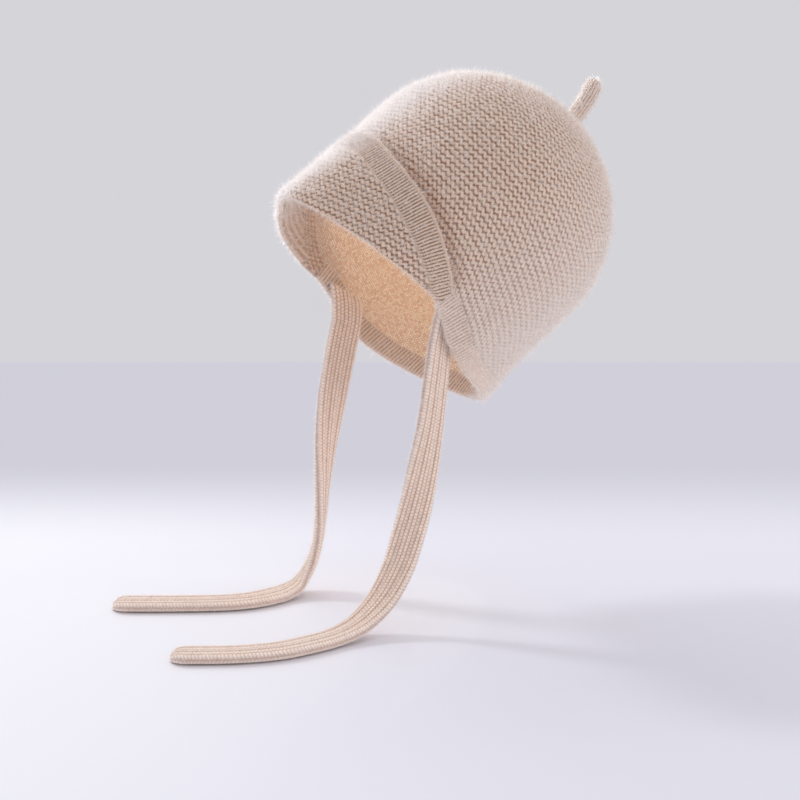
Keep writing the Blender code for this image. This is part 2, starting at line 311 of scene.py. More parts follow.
def downFrom(turns, startDrops, width):
    # the drops that lie a width further down each meridian
    drop = np.array(startDrops, float)
    steps = 12
    step = width / steps
    for _ in range(steps):
        stretch = skinSpan(turns, wayAt(turns, drop), wayAt(turns, drop + step)) / step
        drop = drop + step / stretch
    return drop


def onSkin(turn, way, offset):
    return tipped(skinPoint(turn, way) + skinNormal(turn, way) * np.asarray(offset)[..., None])


# painted light: the cap's colour is painted paler where its skin faces up and to the left, towards the rim
# lamp, as a rim-lit highlight
paintedRimLightLook = {
    "way": (-0.59, -0.31, 0.75),
    "from": 0.50,           # how nearly the skin faces that way where the painted light begins
    "over": 0.42,
    "most": 0.9,
}


def paintedRimLight(turn, way, side=1):
    outward = skinNormal(turn, way) @ tipTurn.T * np.asarray(side)[..., None]
    facing = outward @ np.array(paintedRimLightLook["way"])
    return paintedRimLightLook["most"] * smoothStep((facing - paintedRimLightLook["from"]) / paintedRimLightLook["over"])


# the crown: the dome behind the band and above the hem
crown = {
    "stitches": 136,        # round the widest line
    "perStitch": 4,         # mesh steps to a stitch
    "wedges": 8,            # the stitches decrease at these wedges' sides
    "domeRows": 108,
    "skirtRows": 62,
    "roundness": 1.06,      # how much wider than domeReach the dome is on the whole
    "skirtSlope": 1.03,     # how much longer the skirt is than its drop
    "calmTop": 0.06,        # the share of the dome over which the knit flattens at the top
    "insideColumns": 200,
    "insideRows": 80,
    "insideDot": 0.0016,    # the repeat of the small dots inside
    "insideShade": 0.0220,  # how far the inside is painted in shade behind the band
    "insideFade": 30,       # over how many degrees that shade ends past the band
    "backRows": 8,
    "back": 0.49,           # how deep its hidden back lies, as a share of the wall
    "insideBack": 0.51,
    "under": 0.0015,        # how far its edge reaches under the band and the hem
    "softFront": 0.05,      # how far the knit is smoothed and painted pale in front, partly for the fine hairs' veil and partly as painted light from the fill lamp
    "softBack": 0.50,
    "softFrom": -40,        # the angles round the rim between which the veil thickens
    "softTo": 50,
    "softDown": 1.2,        # and the way down, from the top
    "valley": 0.0012,       # how deep the knit sinks behind the band
    "valleyWidth": 0.0080,
    "valleyFade": 4,        # over how many degrees it ends, each way from the band's end
}


def wedgeStitch(turn, way, middle):
    # counts stitches round the cap from the middle of a wedge, so that they keep their width
    size = 360 / crown["wedges"]
    wedge = np.round((middle + 90) / size)
    centre = -90 + wedge * size
    keep = np.where(way < 1, np.sin(np.clip(way, 0, 1) * pi / 2), 1.0)
    perDegree = crown["stitches"] / 360
    return (centre + 90) * perDegree + (turn - centre) * perDegree * keep


def rowsDown(turn, way):
    # counts courses down from the top along the skin
    quarter = pi / 2 * (cap["domeReach"] * crown["roundness"] + cap["domeRise"]) / 2
    below = np.clip(way - 1, 0, None) * rimDrop(turn) * crown["skirtSlope"]
    ahead = skinPoint(turn, way)[..., 1]
    return (np.clip(way, 0, 1) * quarter + below - ahead * knit["tilt"]) / knit["row"]


def fromBand(turn, way):
    # how far each place of the skin lies from the edge of the dome, where the band begins
    return skinSpan(turn, wayAt(turn, edgeDrop(turn)), way)


def domeShell(sheet, rows, wayOf):
    # where each vertex of a shell lies: its turn, its way down, and how far round to the back it is
    across, down = flatPlaces(sheet)
    row = np.round(down * (rows + 1 + crown["backRows"])).astype(int)
    turn = -90 + 360 * across
    lastWay = wayAt(turn, edgeDrop(turn) + crown["under"])
    back = np.clip((row - rows - 1) / crown["backRows"], 0, 1)
    way = np.where(row > rows, lastWay * (1 - back), wayOf(np.clip(row, 0, rows), lastWay))
    return turn, way, row > rows


def makeCrown(name):
    columns = crown["stitches"] * crown["perStitch"]
    rows = crown["domeRows"] + crown["skirtRows"]
    sheet = flatSheet(name, columns, rows + 1 + crown["backRows"])

    def wayOf(row, lastWay):
        inDome = np.clip(row, 0, crown["domeRows"]) / crown["domeRows"]
        inSkirt = np.clip(row - crown["domeRows"], 0, None) / crown["skirtRows"]
        return inDome + (lastWay - 1) * inSkirt

    turn, way, isBack = domeShell(sheet, rows, wayOf)
    rowCount = rowsDown(turn, way)
    left = wedgeStitch(turn, way, turn - 0.01)
    right = wedgeStitch(turn, way, turn + 0.01)
    uneven = wobble(turn / 3, rowCount / 3, knit["seedWobble"], 3)
    height = (seedHeight(left + uneven, rowCount + uneven) +
              seedHeight(right + uneven, rowCount + uneven)) / 2
    calm = np.clip(way / crown["calmTop"], 0, 1)
    toBack = smoothStep((halfAngle(turn) - crown["softFrom"]) / (crown["softTo"] - crown["softFrom"]))
    softer = (crown["softBack"] - crown["softFront"]) * toBack * smoothStep(way / crown["softDown"])
    soft = crown["softFront"] + softer
    pastBand = (halfAngle(turn) - cap["bandEnd"] + crown["valleyFade"]) / (2 * crown["valleyFade"])
    valley = np.exp(-(fromBand(turn, way) / crown["valleyWidth"])**2) * (1 - smoothStep(pastBand))
    relief = seedRelief(height) * calm * (1 - soft) - valley * crown["valley"]
    points = onSkin(turn, way, np.where(isBack, -cap["wall"] * crown["back"], relief))
    corners, middles = cornerPlaces(sheet)
    cornerStitch = wedgeStitch(turn[corners], way[corners], -90 + 360 * middles)
    stitches = np.stack([cornerStitch + uneven[corners], (rowCount + uneven)[corners]], -1)
    # paler where the soft veil is, partly painted light from the fill lamp, and where the painted rim light
    # falls
    pale = np.maximum(soft, paintedRimLight(turn, way))
    # painted shade: the crown's colour is darkened in the valley behind the band, where the band's shadow
    # falls
    shapeSheet(sheet, points, stitches, plain=soft, deep=valley, pale=pale)
    closeSheet(sheet)
    return sheet


def makeCrownInside(name):
    rows = crown["insideRows"]
    sheet = flatSheet(name, crown["insideColumns"], rows + 1 + crown["backRows"])

    def wayOf(row, lastWay):
        return lastWay * row / rows

    turn, way, isBack = domeShell(sheet, rows, wayOf)
    rowCount = rowsDown(turn, way) * knit["row"] / crown["insideDot"]
    stitch = (turn + 90) / 360 * crown["stitches"] * knit["stitch"] / crown["insideDot"]
    offset = np.where(isBack, -cap["wall"] * crown["insideBack"], -cap["wall"])
    pastBand = smoothStep((halfAngle(turn) - cap["bandEnd"]) / crown["insideFade"])
    shade = 1 - smoothStep(fromBand(turn, way) / crown["insideShade"] + pastBand)
    # painted shade: the inside behind the band, where little light comes through the knit, is darkened
    shapeSheet(sheet, onSkin(turn, way, offset), np.stack([stitch, rowCount], -1), deep=shade)
    closeSheet(sheet)
    return sheet


def sectionPlaces(share, outerRows, edgeRows, innerRows):
    # splits the way round a closed section into its outside, its lower edge, its inside and its top
    total = outerRows + edgeRows + innerRows + 1
    row = np.round(share * total).astype(int)
    onOuter = np.clip(row / outerRows, 0, 1)
    onEdge = np.clip((row - outerRows) / edgeRows, 0, 1)
    onInner = np.clip((row - outerRows - edgeRows) / innerRows, 0, 1)
    return row, onOuter, onEdge, onInner, total


def wallStrip(name, turns, tops, bottoms, outside, inside, rows, finishSection):
    # a closed strip of wall between two drops on the skin, rounded along its lower edge
    outerRows, edgeRows, innerRows = rows
    columns = len(turns) - 1
    sheet = flatSheet(name, columns, outerRows + edgeRows + innerRows + 1)
    across, down = flatPlaces(sheet)
    column = np.round(across * columns).astype(int)
    row, onOuter, onEdge, onInner, total = sectionPlaces(down, outerRows, edgeRows, innerRows)
    last = row == total
    turn, top, bottom = turns[column], tops[column], bottoms[column]
    middle = (outside + inside) / 2
    radius = (outside - inside) / 2
    span = skinSpan(turn, wayAt(turn, top), wayAt(turn, bottom))
    low = bottom - (bottom - top) * np.clip(radius / span, 0, 0.6)
    straightOut = top + (low - top) * onOuter
    straightIn = low + (top - low) * onInner
    arc = pi * onEdge
    inEdge = (onEdge > 0) & (onEdge < 1)
    bend = low + (bottom - low) * np.sin(arc)
    drop = np.where(onOuter < 1, straightOut, np.where(inEdge, bend, straightIn))
    side = np.where(onOuter < 1, 1.0, np.where(onEdge < 1, np.cos(arc), -1.0))
    drop = np.where(last, top, drop)
    side = np.where(last, 1.0, side)
    # how far from the rim each place is along the wall, over the edge counted below nought
    fromRim = np.where(inEdge, 0, span * (bottom - drop) / (bottom - top))
    straight = span * (low - np.minimum(drop, low)) / (bottom - top)
    along = np.where(inEdge, radius * (pi / 2 - arc), np.sign(side) * (straight + radius * pi / 2))
    places = {"along": along, "inside": side < 0, "fromRim": fromRim, "row": row, "column": column}
    relief, stitches, marks = finishSection(turn, places)
    relief = np.where(last, 0, relief)
    way = wayAt(turn, drop)
    # painted rim light: paler where the outside faces the rim lamp
    marks["pale"] = paintedRimLight(turn, way, np.sign(side))
    offset = middle + side * radius + relief * np.sign(side)
    shapeSheet(sheet, onSkin(turn, way, offset), stitches, **marks)
    closeSheet(sheet)
    return sheet


def alongRim(turns, drops):
    # how far along a line on the skin each turn lies
    points = skinPoint(turns, wayAt(turns, drops))
    return np.concatenate([[0], np.cumsum(np.linalg.norm(np.diff(points, axis=0), axis=1))])


# the peak: knit turned back on itself, with a rolled front edge
peak = {
    "columns": 330,
    "rows": (56, 8, 46),    # outside, round the front edge, inside
    "under": 0.0012,        # how far it reaches under the band
    "edge": 0.0005,         # half the smooth stretch along the front edge
    "edgeFade": 0.0008,
    "ridges": 0.0150,       # inside, the knit lies in plain ridges as far as this from the edge
    "ridgesFade": 0.003,
    "ridgeStep": 0.0040,
    "ridgePlain": 0.5,      # how far those ridges are smoothed
    "tilt": -0.115,         # how much the ridges rise towards the ears
    "row": 0.00345,
    "stitch": 0.00336,
}


def makePeak(name):
    end = cap["peakEnd"] - degrees(cap["gap"] / cap["domeReach"])
    turns = np.linspace(-180 - end, end, peak["columns"] + 1)
    tops = downFrom(turns, edgeDrop(turns), bandWidth(turns) - peak["under"])
    bottoms = rimDrop(turns)
    run = alongRim(turns, (tops + bottoms) / 2)

    def finish(turn, places):
        along, place = places["along"], run[places["column"]]
        u = place / peak["stitch"]
        v = -(along + np.abs(place - run[-1] / 2) * peak["tilt"]) / peak["row"]
        v = np.where(along < 0, along / peak["ridgeStep"], v)
        uneven = wobble(u / 3, v / 3, knit["seedWobble"], 5)
        straight = 1 - smoothStep((-along - peak["ridges"]) / peak["ridgesFade"])
        straight = np.where(along < 0, straight, 0)
        atEdge = 1 - smoothStep((np.abs(along) - peak["edge"]) / peak["edgeFade"])
        plain = np.maximum(atEdge, straight * peak["ridgePlain"])
        relief = seedRelief(seedHeight(u + uneven, v + uneven, straight)) * (1 - plain)
        return relief, np.stack([u + uneven, v + uneven], -1), {"plain": plain, "straight": straight}

    return wallStrip(name, turns, tops, bottoms, cap["peakProud"], cap["peakProud"] - cap["peakWall"],
                     peak["rows"], finish)


# the raised band of ribs behind the peak
band = {
    "rib": 0.0018,
    "perRib": 5,
    "rows": (34, 6, 18),
    "ribRelief": 0.0008,
    "bead": 0.0020,         # the smooth cast-off edge on the crown's side
    "beadHeight": 0.0005,
    "beadLumps": 0.2,       # how much it swells at each stitch
    "chain": 0.0024,        # the line of stitches along the peak
    "chainStep": 0.0029,
    "chainHeight": 0.0005,
    "chainLumps": 0.45,
    "chainPlain": 0.8,      # how far the ribs fade under that line
    "turnDown": 1.5,        # over how many degrees past the peak it widens to reach the rim
    "inwards": 0.0002,      # how far it stands in from the crown's inside
    "innerPlain": 0.8,
    "innerRelief": 0.6,
}


def squareLean(turns, drops):
    # how far along a line on the skin a step straight down the meridian leads, as a share of the step
    step = 0.001
    line = skinPoint(turns, wayAt(turns, drops))
    along = unit(np.gradient(line, axis=0))
    down = unit(skinPoint(turns, wayAt(turns, drops + step)) - line)
    return np.sum(along * down, -1)


def cordAlong(away, width, height, lumps, run):
    # a rounded cord along an edge, with one lump to each stitch of the chain
    arch = np.sin(pi * np.clip(away / width, 0, 1)) * height
    return arch * (1 - lumps + lumps * np.cos(2 * pi * run / band["chainStep"]))


def within(away, width):
    # 1 nearer to an edge than a width, 0 past it, with a soft change
    return 1 - smoothStep((away - width * 0.8) / (width * 0.4))


def ribTurns(start, end, line, lower, rib, perRib):
    # turns for the columns of a ribbed strip, a whole number of ribs along a line on the skin
    coarse = np.linspace(start, end, 400)
    length = alongRim(coarse, line(coarse) + lower)[-1]
    return np.linspace(start, end, int(length / rib) * perRib + 1)


def makeBand(name):
    end = cap["bandEnd"]
    turns = ribTurns(-180 - end, end, edgeDrop, 0.005, band["rib"], band["perRib"])
    tops = downFrom(turns, edgeDrop(turns), cap["gap"])
    narrow = downFrom(turns, edgeDrop(turns), cap["gap"] + bandWidth(turns))
    toRim = smoothStep((halfAngle(turns) - cap["peakEnd"]) / band["turnDown"])
    bottoms = narrow + (rimDrop(turns) - narrow) * toRim
    run = alongRim(turns, tops)
    lean = squareLean(turns, tops)

    def finish(turn, places):
        fromRim, column, inner = places["fromRim"], places["column"], places["inside"]
        fromTop = fromRim[places["row"] == 0][column] - fromRim
        place = run[column]
        u = (place + fromTop * lean[column]) / band["rib"]
        v = fromRim / knit["course"]
        uneven = wobble(u / 2, v / 2, knit["ribWobble"], 7)
        inChain = within(fromRim, band["chain"]) * band["chainPlain"]
        plain = np.maximum(within(fromTop, band["bead"]), inChain)
        ribs = (ribHeight(u + uneven, v + uneven) - knit["ribLevel"]) * band["ribRelief"]
        bead = cordAlong(fromTop, band["bead"], band["beadHeight"], band["beadLumps"], place)
        chain = cordAlong(fromRim, band["chain"], band["chainHeight"], band["chainLumps"], place)
        relief = ribs * (1 - plain) + bead + chain
        u = np.where(inner, place / peak["stitch"], u) + uneven
        v = np.where(inner, fromTop / peak["row"], v) + uneven
        relief = np.where(inner, seedRelief(seedHeight(u, v)) * band["innerRelief"], relief)
        marks = {"plain": np.where(inner, band["innerPlain"], plain), "inner": inner * 1.0}
        return relief, np.stack([u, v], -1), marks

    return wallStrip(name, turns, tops, bottoms, cap["bandProud"], -cap["wall"] - band["inwards"],
                     band["rows"], finish)


# the ribbed hem round the ears and the nape
hem = {
    "perRib": 5,
    "rows": (20, 6, 20),
    "ribRelief": 0.0006,
    "over": 0.0006,         # how far it reaches over the crown's edge
    "edge": 0.0012,         # the smooth stretch along the rim
    "edgePlain": 0.7,
    "plainFrom": 18,        # outside, the ribs fade from this angle on
    "plainTo": 48,
    "plainMost": 0.8,
}


def makeHem(name):
    start = cap["bandEnd"] + degrees(cap["gap"] / cap["domeReach"])
    turns = ribTurns(start, 180 - start, rimDrop, 0, knit["rib"], hem["perRib"])
    tops = edgeDrop(turns) - hem["over"]
    bottoms = rimDrop(turns)
    run = alongRim(turns, bottoms)

    def finish(turn, places):
        fromRim = places["fromRim"]
        u = run[places["column"]] / knit["rib"]
        v = fromRim / knit["course"]
        uneven = wobble(u / 2, v / 2, knit["ribWobble"], 9)
        faded = smoothStep((halfAngle(turn) - hem["plainFrom"]) / (hem["plainTo"] - hem["plainFrom"]))
        atEdge = 1 - smoothStep((fromRim - hem["edge"] * 0.6) / hem["edge"])
        plain = np.where(places["inside"], 0, faded * hem["plainMost"])
        plain = np.maximum(plain, atEdge * hem["edgePlain"])
        relief = (ribHeight(u + uneven, v + uneven) - knit["ribLevel"]) * hem["ribRelief"] * (1 - plain)
        return relief, np.stack([u + uneven, v + uneven], -1), {"plain": plain}

    proud = (cap["hemWall"] - cap["wall"]) / 2
    return wallStrip(name, turns, tops, bottoms, proud, proud - cap["hemWall"], hem["rows"], finish)


# the straps
ties = {
    "width": 0.0185,
    "thick": 0.0060,
    "back": 0.0200,         # how far behind the ear a strap leaves the rim
    "tuck": 0.0170,         # how far it reaches up inside the rim
    "slant": 8.5,
    "topSlant": 32,         # how far the sewn top edge drops towards the back
    "fall": 0.1563,
    "run": 0.1510,
    "columns": 34,          # mesh steps across one face
    "step": 0.0007,         # mesh step along it
    "wales": 8,             # columns of stitches across one face
    "course": 0.0019,
    "groove": 0.37,         # the grooves' place, as a share of half the width
    "grooveWidth": 0.10,
    "grooveDepth": 0.30,
    "squareness": 5.5,      # how square the edges are
    "relief": 0.0003,
    "level": 0.6,           # the height that lies level with the strap, as a share of the relief
    "lump": 0.00035,        # how far each stitch stands out at the edges
    "calm": 0.06,           # the share of half the width that has no relief, at the edges
    "crowding": 0.55,       # how much nearer the mesh steps lie towards the edges
    "settle": 0.006,        # below the rim, over which it leaves the straight way down
    "easing": 8,            # how often the corners of its middle line are eased
    "endSteps": 14,         # mesh steps of its rounded end
    "endReach": 0.98,       # how near its last step comes to the round tip
    "endThin": 0.6,         # how much thinner it gets there
    "paleFrom": 0.84,       # the pale edge, painted light for the lit fuzz along both edges, as shares of half the width
    "paleOver": 0.12,
    "pale": 0.45,
    "plain": 0.1,
}
# each row down a strap: side (share of its distance from the middle at the rim), ahead, fall and turn
tieRows = {"tie_left": (
    (1.00, 0.000, 0.000, 106), (0.99, 0.011, 0.096, 104), (0.985, 0.036, 0.274, 97),
    (0.98, 0.063, 0.416, 82), (0.975, 0.096, 0.559, 62), (0.97, 0.135, 0.682, 48),
    (0.97, 0.182, 0.797, 36), (0.975, 0.255, 0.900, 24), (0.985, 0.350, 0.968, 12),
    (1.01, 0.455, 0.996, 2), (1.04, 0.575, 1.000, -4), (1.02, 0.715, 1.000, -10),
    (0.84, 0.860, 1.000, -20), (0.54, 1.000, 1.000, -27),
), "tie_right": (
    (1.00, 0.000, 0.000, 106), (0.99, 0.040, 0.147, 104), (0.975, 0.077, 0.296, 94),
    (0.96, 0.108, 0.450, 72), (0.95, 0.129, 0.620, 50), (0.935, 0.147, 0.780, 38),
    (0.92, 0.183, 0.895, 35), (0.90, 0.252, 0.975, 30), (0.86, 0.345, 1.000, 20),
    (0.83, 0.440, 1.000, 12), (0.89, 0.540, 1.000, 18), (1.08, 0.650, 1.000, 30),
    (1.34, 0.770, 1.000, 36), (1.61, 0.887, 1.000, 40),
)}
# half a strap's section: shares of half its width and of half its thickness
strapHalf = ((1.00, 0.00), (0.95, 0.62), (0.80, 0.96), (0.58, 0.96), (0.37, 0.68), (0.16, 0.98))


def turnBehind(back, drop):
    low, high = -70.0, 70.0
    for _ in range(30):
        turn = (low + high) / 2
        if skinPoint(turn, min(float(wayAt(turn, drop)), 2.0))[1] < back:
            low = turn
        else:
            high = turn
    return turn


def innerSide(back, drop, wall):
    turn = turnBehind(back, drop)
    way = min(float(wayAt(turn, drop)), 2.0)
    return skinPoint(turn, way)[0] - wall / skinNormal(turn, way)[0]


def tieFrame(ahead, turn):
    flat = np.stack([np.cos(turn), np.sin(turn), np.zeros_like(turn)], -1)
    across = unit(flat - ahead * np.sum(flat * ahead, -1, keepdims=True))
    return across, np.cross(across, ahead)


def strapSide(y, z, across):
    # how far from the middle a strap lies flat on the inner wall
    wall = (cap["hemWall"] + cap["wall"]) / 2
    sides = []
    for share, full in strapHalf:
        for reach in (across * ties["width"] / 2 * share, -across * ties["width"] / 2 * share):
            inside = np.array([0, y + reach[1], z + reach[2]]) @ tipTurn + seat
            sides.append(innerSide(inside[1], -inside[2], wall) - reach[0] - full * ties["thick"] / 2)
    return min(sides) - cap["gap"]


def tieRoute(rows):
    # even steps along a strap's middle line, with its plan angle at each
    rimTurn = turnBehind(ties["back"], cap["rimDrop"])
    rim = tipped(np.array([0, ties["back"], -float(rimDrop(rimTurn))]))
    firstTurn = np.radians(float(rows[0][3]))
    down = np.array([0, 0, -1.0])
    across = tieFrame(down, firstTurn)[0]
    rimSide = strapSide(rim[1], rim[2], across)
    places, turns = [], []
    for share in (1, 2 / 3, 1 / 3):
        y = rim[1] + np.tan(radians(ties["slant"])) * ties["tuck"] * share
        z = rim[2] + ties["tuck"] * share
        slope = down * np.tan(radians(ties["topSlant"])) * max(1 - (1 - share) * 1.5, 0)
        places.append((strapSide(y, z, across + slope), y, z))
        turns.append(rows[0][3])
    at = np.linspace(0, len(rows) - 1, 600)
    side, ahead, fall, turn = (smoothCurve(range(len(rows)), [row[k] for row in rows], at) for k in range(4))
    fall = np.minimum(fall, 1) * ties["fall"]
    free = np.stack([rimSide * side, rim[1] - ties["run"] * ahead, rim[2] - fall], -1)
    places = np.concatenate([np.array(places), free])
    turns = np.radians(np.concatenate([turns, turn]))
    run = np.concatenate([[0], np.cumsum(np.linalg.norm(np.diff(places, axis=0), axis=1))])
    steps = int(run[-1] / ties["step"])
    even = np.linspace(0, run[-1], steps + 1)
    middle = np.stack([np.interp(even, run, places[:, k]) for k in range(3)], -1)
    for _ in range(ties["easing"]):
        middle[1:-1] = (middle[:-2] + 2 * middle[1:-1] + middle[2:]) / 4
    return middle, np.interp(even, run, turns), even


def strapThickness(x):
    # half the thickness across the strap, with its grooves, as a share of the full one
    edge = (1 - np.abs(x)**ties["squareness"])**0.5
    groove = np.exp(-((np.abs(x) - ties["groove"]) / ties["grooveWidth"])**2)
    return edge * (1 - ties["grooveDepth"] * groove)


def tieSpine(rows):
    # a strap's middle line with its rounded end, the ways across and out of it, how far along each
    # step lies, and its width and thickness there as shares
    middle, turns, run = tieRoute(rows)
    ahead = unit(np.gradient(middle, axis=0))
    ahead[run < ties["tuck"]] = (0, 0, -1)
    settled = smoothStep((run - ties["tuck"]) / ties["settle"])[:, None]
    ahead = unit(np.array([0, 0, -1.0]) * (1 - settled) + ahead * settled)
    steps = ties["endSteps"]
    outs = np.sin(np.linspace(0, pi / 2, steps + 1)[1:]) * ties["endReach"]
    reach = outs * ties["width"] / 2
    wide = np.concatenate([np.ones(len(run)), np.sqrt(1 - outs**2)])
    thick = np.concatenate([np.ones(len(run)), 1 - outs**4 * ties["endThin"]])
    middle = np.concatenate([middle, middle[-1] + ahead[-1] * reach[:, None]])
    ahead = np.concatenate([ahead, np.repeat(ahead[-1:], steps, 0)])
    turns = np.concatenate([turns, np.repeat(turns[-1:], steps)])
    run = np.concatenate([run, run[-1] + reach])
    across, facing = tieFrame(ahead, turns)
    slope = np.tan(radians(ties["topSlant"])) * np.clip(1 - run / ties["tuck"] * 1.5, 0, 1)
    across[:, 2] -= slope
    return middle, across, facing, run, wide, thick


def makeTie(name):
    middle, across, facing, run, wide, thick = tieSpine(tieRows[name])
    along, around = len(run) - 1, 2 * ties["columns"]
    sheet = flatSheet(name, around, along)
    flatX, flatY = flatPlaces(sheet)
    k = np.round(flatY * along).astype(int)
    loop = flatX * 2
    inFront = loop < 1
    face = np.where(inFront, 1.0, -1.0)
    s = np.where(inFront, 1 - 2 * loop, 2 * loop - 3)
    x = (1 - ties["crowding"]) * s + ties["crowding"] * np.sin(s * pi / 2)
    u = (x + 1) / 2 * ties["wales"]
    v = run[k] / ties["course"] + np.where(inFront, 0, 0.5)
    uneven = wobble(u / 2, v / 2, knit["ribWobble"], 11)
    calm = np.clip((1 - np.abs(x)) / ties["calm"], 0, 1)
    relief = (ribHeight(u, v + uneven + np.floor(u) / 2) - ties["level"]) * ties["relief"] * calm
    lumps = ties["lump"] * np.cos(2 * pi * run[k] / ties["course"]) * (1 - calm)
    height = strapThickness(x) * ties["thick"] / 2 * thick[k] + relief
    reach = x * ties["width"] / 2 * wide[k] + np.sign(x) * lumps
    points = middle[k] + across[k] * reach[:, None] + facing[k] * (face * height)[:, None]
    points[:, 2] += (thick[k] - 1) * ties["thick"] / 2
    if name == "tie_right":     # both tables are written for the left side
        points[:, 0] *= -1
    # painted light: both edges are painted paler, for the fuzz that the lamps light along them
    atEdge = smoothStep((np.abs(x) - ties["paleFrom"]) / ties["paleOver"])
    shapeSheet(sheet, points, np.stack([u, v + uneven], -1),
               pale=atEdge * ties["pale"], plain=atEdge * ties["plain"])
    closeSheet(sheet)
    return sheet


# the stem: a narrow knitted tube with a round tip
stem = {
    "length": 0.0410,
    "diameter": 0.0098,
    "lift": 13,
    "ribs": 15,
    "perRib": 6,
    "rings": 110,
    "tipFrom": 0.86,        # where the round tip begins, as a share of the length
    "sunk": 0.0004,         # how deep its foot lies in the crown
    "course": 0.0013,
    "relief": 0.0006,
}
# along the stem: share of its length, share of its diameter
stemRings = ((0.00, 1.36), (0.08, 1.08), (0.30, 0.97), (0.60, 0.97), (0.80, 1.00))


def makeStem(name):
    around, along = stem["ribs"] * stem["perRib"], stem["rings"]
    sheet = flatSheet(name, around, along)
    across, down = flatPlaces(sheet)
    share = np.round(down * along) / along
    wide = tableCurve(stemRings, share)
    tip = np.clip((share - stem["tipFrom"]) / (1 - stem["tipFrom"]), 0, 1)
    wide = wide * np.sqrt(1 - tip**2)
    run = share * stem["length"]
    lean = radians(stem["lift"]) * share
    arc = 2 * pi * across
    u = across * stem["ribs"]
    v = run / stem["course"]
    calm = np.clip((1 - tip) * 3, 0, 1) * np.minimum(wide, 1)
    relief = (ribHeight(u, v) - knit["ribLevel"]) * stem["relief"] * calm
    radius = stem["diameter"] / 2 * wide + relief
    foot = cap["domeRise"] - stem["sunk"]
    points = np.stack([np.cos(arc) * radius,
                       -run * np.sin(lean) + np.sin(arc) * np.cos(lean) * radius,
                       foot + run * np.cos(lean) + np.sin(arc) * np.sin(lean) * radius], -1)
    shapeSheet(sheet, tipped(points), np.stack([u, v], -1))
    closeSheet(sheet)
    return sheet


# the fine loose wool that stands off the knit: a thin fleece of long hairs and a dense short down
onCap = {"crown": 0.70, "peak": 0.15, "peak_band": 0.05, "hem_band": 0.07, "stem": 0.03}
onTies = {"tie_left": 0.5, "tie_right": 0.5}
hairKinds = {
    "cap_nap": {"on": onCap, "slot": "seed_knit", "count": 50000, "lengths": (0.0014, 0.0056),
                "width": 0.00016, "bent": True},
    "down_nap": {"on": onCap, "slot": "seed_knit", "count": 170000, "lengths": (0.0009, 0.0028),
                 "width": 0.00016, "bent": False},
    "tie_nap": {"on": onTies, "slot": "strap_knit", "count": 32000, "lengths": (0.0008, 0.0030),
                "width": 0.00010, "bent": True},
}
nap = {
    "rare": 1.7,            # how rare the long ones are
    "onPale": 1.0,          # how many more grow where a piece is pale
    "lean": (0.2, 1.4),     # how far a hair leans over as it leaves the knit
    "bend": (0.1, 0.6),
    "rooted": 0.0002,       # how deep it is rooted
    "colour": (253, 248, 243),
    "rough": 0.9,
    "sheen": 0.3,
}


def surfaceSpots(source, count, rng):
    # random places all over a piece, each with the way out from it; more of them where it is painted pale,
    # with painted light and the fuzz's veil, and none on the crown's hidden back
    mesh = source.data
    mesh.calc_loop_triangles()
    corners = readAll(mesh.loop_triangles, "vertices", 3, int)
    a, b, c = readAll(mesh.vertices, "co", 3)[corners.T]
    cross = np.cross(b - a, c - a)
    area = np.maximum(np.linalg.norm(cross, axis=1), 1e-12)
    weight = area
    if "pale" in mesh.attributes:
        pale = readAll(mesh.attributes["pale"].data, "value")
        weight = area * (1 + nap["onPale"] * pale[corners[:, 0]])
    if source is pieces["crown"]:
        weight = weight * (np.sum(cross * (a - tipped(np.zeros(3))), axis=1) > 0)
    chosen = rng.choice(len(area), count, p=weight / weight.sum())
    p, q = rng.random((2, count, 1))
    flip = p + q > 1
    p, q = np.where(flip, 1 - p, p), np.where(flip, 1 - q, q)
    return a[chosen] + (b - a)[chosen] * p + (c - a)[chosen] * q, (cross / area[:, None])[chosen]


def makeNap(name, hair):
    # each hair is a thin pointed strip, a long one with a bend in it
    rng = np.random.default_rng(21)
    spots = [surfaceSpots(pieces[on], int(hair["count"] * share), rng) for on, share in hair["on"].items()]
    root, normal = (np.concatenate(part) for part in zip(*spots))
    n = len(root)
    stray = rng.normal(size=(n, 3))
    lay = unit(stray - normal * np.sum(stray * normal, 1, keepdims=True))
    ahead = unit(normal + lay * rng.uniform(*nap["lean"], (n, 1)))
    shortest, longest = hair["lengths"]
    length = shortest + (longest - shortest) * rng.random((n, 1))**nap["rare"]
    bend = unit(rng.normal(size=(n, 3)) + normal * 0.3) * rng.uniform(*nap["bend"], (n, 1))
    side = unit(np.cross(ahead, rng.normal(size=(n, 3)))) * hair["width"] / 2
    foot = root - normal * nap["rooted"]
    middle = root + (ahead * 0.5 + bend * 0.15) * length
    tip = root + (ahead + bend) * length
    if hair["bent"]:
        strip = [foot - side, foot + side, middle - side * 0.8, middle + side * 0.8, tip]
        corners = ((0, 1, 3, 2), (2, 3, 4))
    else:
        strip = [foot - side * 1.3, foot + side * 1.3, tip]
        corners = ((0, 1, 2),)
    points = np.stack(strip, 1)
    points = points[points[:, :, 2].min(1) > cadBox[0].z]
    starts = range(0, len(points) * len(strip), len(strip))
    faces = [tuple(start + k for k in face) for start in starts for face in corners]
    mesh = bpy.data.meshes.new(name)
    mesh.from_pydata(points.reshape(-1, 3).tolist(), [], faces)
    hairs = bpy.data.objects.new(name, mesh)
    bpy.context.scene.collection.objects.link(hairs)
    return hairs


def fromScreen(red, green, blue):
    # a colour as seen on a screen, 0 to 255, as the shader's own numbers
    values = [v / 255 / 12.92 if v / 255 <= 0.04045 else ((v / 255 + 0.055) / 1.055)**2.4
              for v in (red, green, blue)]
    return (*values, 1)


